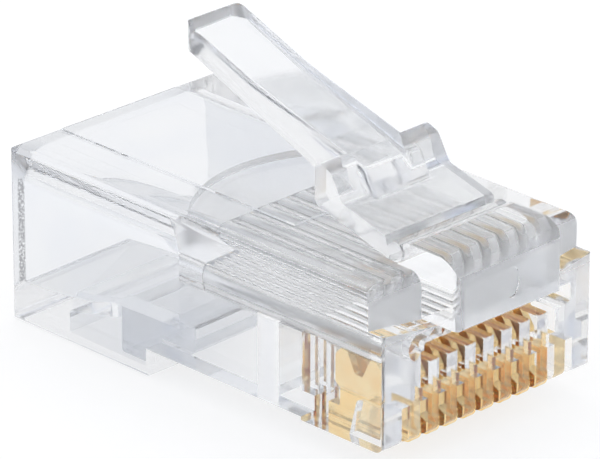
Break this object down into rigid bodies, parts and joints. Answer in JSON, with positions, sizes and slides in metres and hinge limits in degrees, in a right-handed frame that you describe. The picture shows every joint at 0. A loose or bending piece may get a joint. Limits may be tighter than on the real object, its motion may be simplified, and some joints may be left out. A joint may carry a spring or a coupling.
{
  "type": "modular plug",
  "caption": "Clear unterminated modular plug for data cable, with gold contacts in a slotted nose, wire channels, a strain relief clamp and a sprung latch.",
  "frame": {"origin": "middle of the plug's width and length, on the plane of the rear body's underside", "axes": "-Y points out of the nose into the jack, +Y out of the cable entry, +Z towards the latch, +X across the width"},
  "size_m": [0.0116, 0.0228, 0.0136],
  "materials": {
    "clear_plastic": "clear polycarbonate, polished, slightly milky where it is thick",
    "gold_plate": "gold plate over stamped bronze"
  },
  "bodies": {
    "housing": {"housing": "clear_plastic"},
    "latch": {"latch_lever": "clear_plastic"},
    "clamp": {"strain_relief_clamp": "clear_plastic"},
    "pin_1": {"contact_1": "gold_plate"},
    "pin_2": {"contact_2": "gold_plate"},
    "pin_3": {"contact_3": "gold_plate"},
    "pin_4": {"contact_4": "gold_plate"},
    "pin_5": {"contact_5": "gold_plate"},
    "pin_6": {"contact_6": "gold_plate"},
    "pin_7": {"contact_7": "gold_plate"},
    "pin_8": {"contact_8": "gold_plate"}
  },
  "joints": [
    {"name": "latch_press", "type": "hinge", "parent": "housing", "child": "latch", "pos_m": [0, -0.00795, 0.0082], "axis": [-1, 0, 0], "range_deg": [0, 14.5], "stiffness_Nm_per_rad": 0.05},
    {"name": "clamp_fold", "type": "hinge", "parent": "housing", "child": "clamp", "pos_m": [0, 0.0057, 0.00206], "axis": [-1, 0, 0], "range_deg": [0, 20]},
    {"name": "pin_1_press", "type": "slide", "parent": "housing", "child": "pin_1", "axis": [0, 0, 1], "range_m": [0, 0.001]},
    {"name": "pin_2_press", "type": "slide", "parent": "housing", "child": "pin_2", "axis": [0, 0, 1], "range_m": [0, 0.001]},
    {"name": "pin_3_press", "type": "slide", "parent": "housing", "child": "pin_3", "axis": [0, 0, 1], "range_m": [0, 0.001]},
    {"name": "pin_4_press", "type": "slide", "parent": "housing", "child": "pin_4", "axis": [0, 0, 1], "range_m": [0, 0.001]},
    {"name": "pin_5_press", "type": "slide", "parent": "housing", "child": "pin_5", "axis": [0, 0, 1], "range_m": [0, 0.001]},
    {"name": "pin_6_press", "type": "slide", "parent": "housing", "child": "pin_6", "axis": [0, 0, 1], "range_m": [0, 0.001]},
    {"name": "pin_7_press", "type": "slide", "parent": "housing", "child": "pin_7", "axis": [0, 0, 1], "range_m": [0, 0.001]},
    {"name": "pin_8_press", "type": "slide", "parent": "housing", "child": "pin_8", "axis": [0, 0, 1], "range_m": [0, 0.001]}
  ]
}
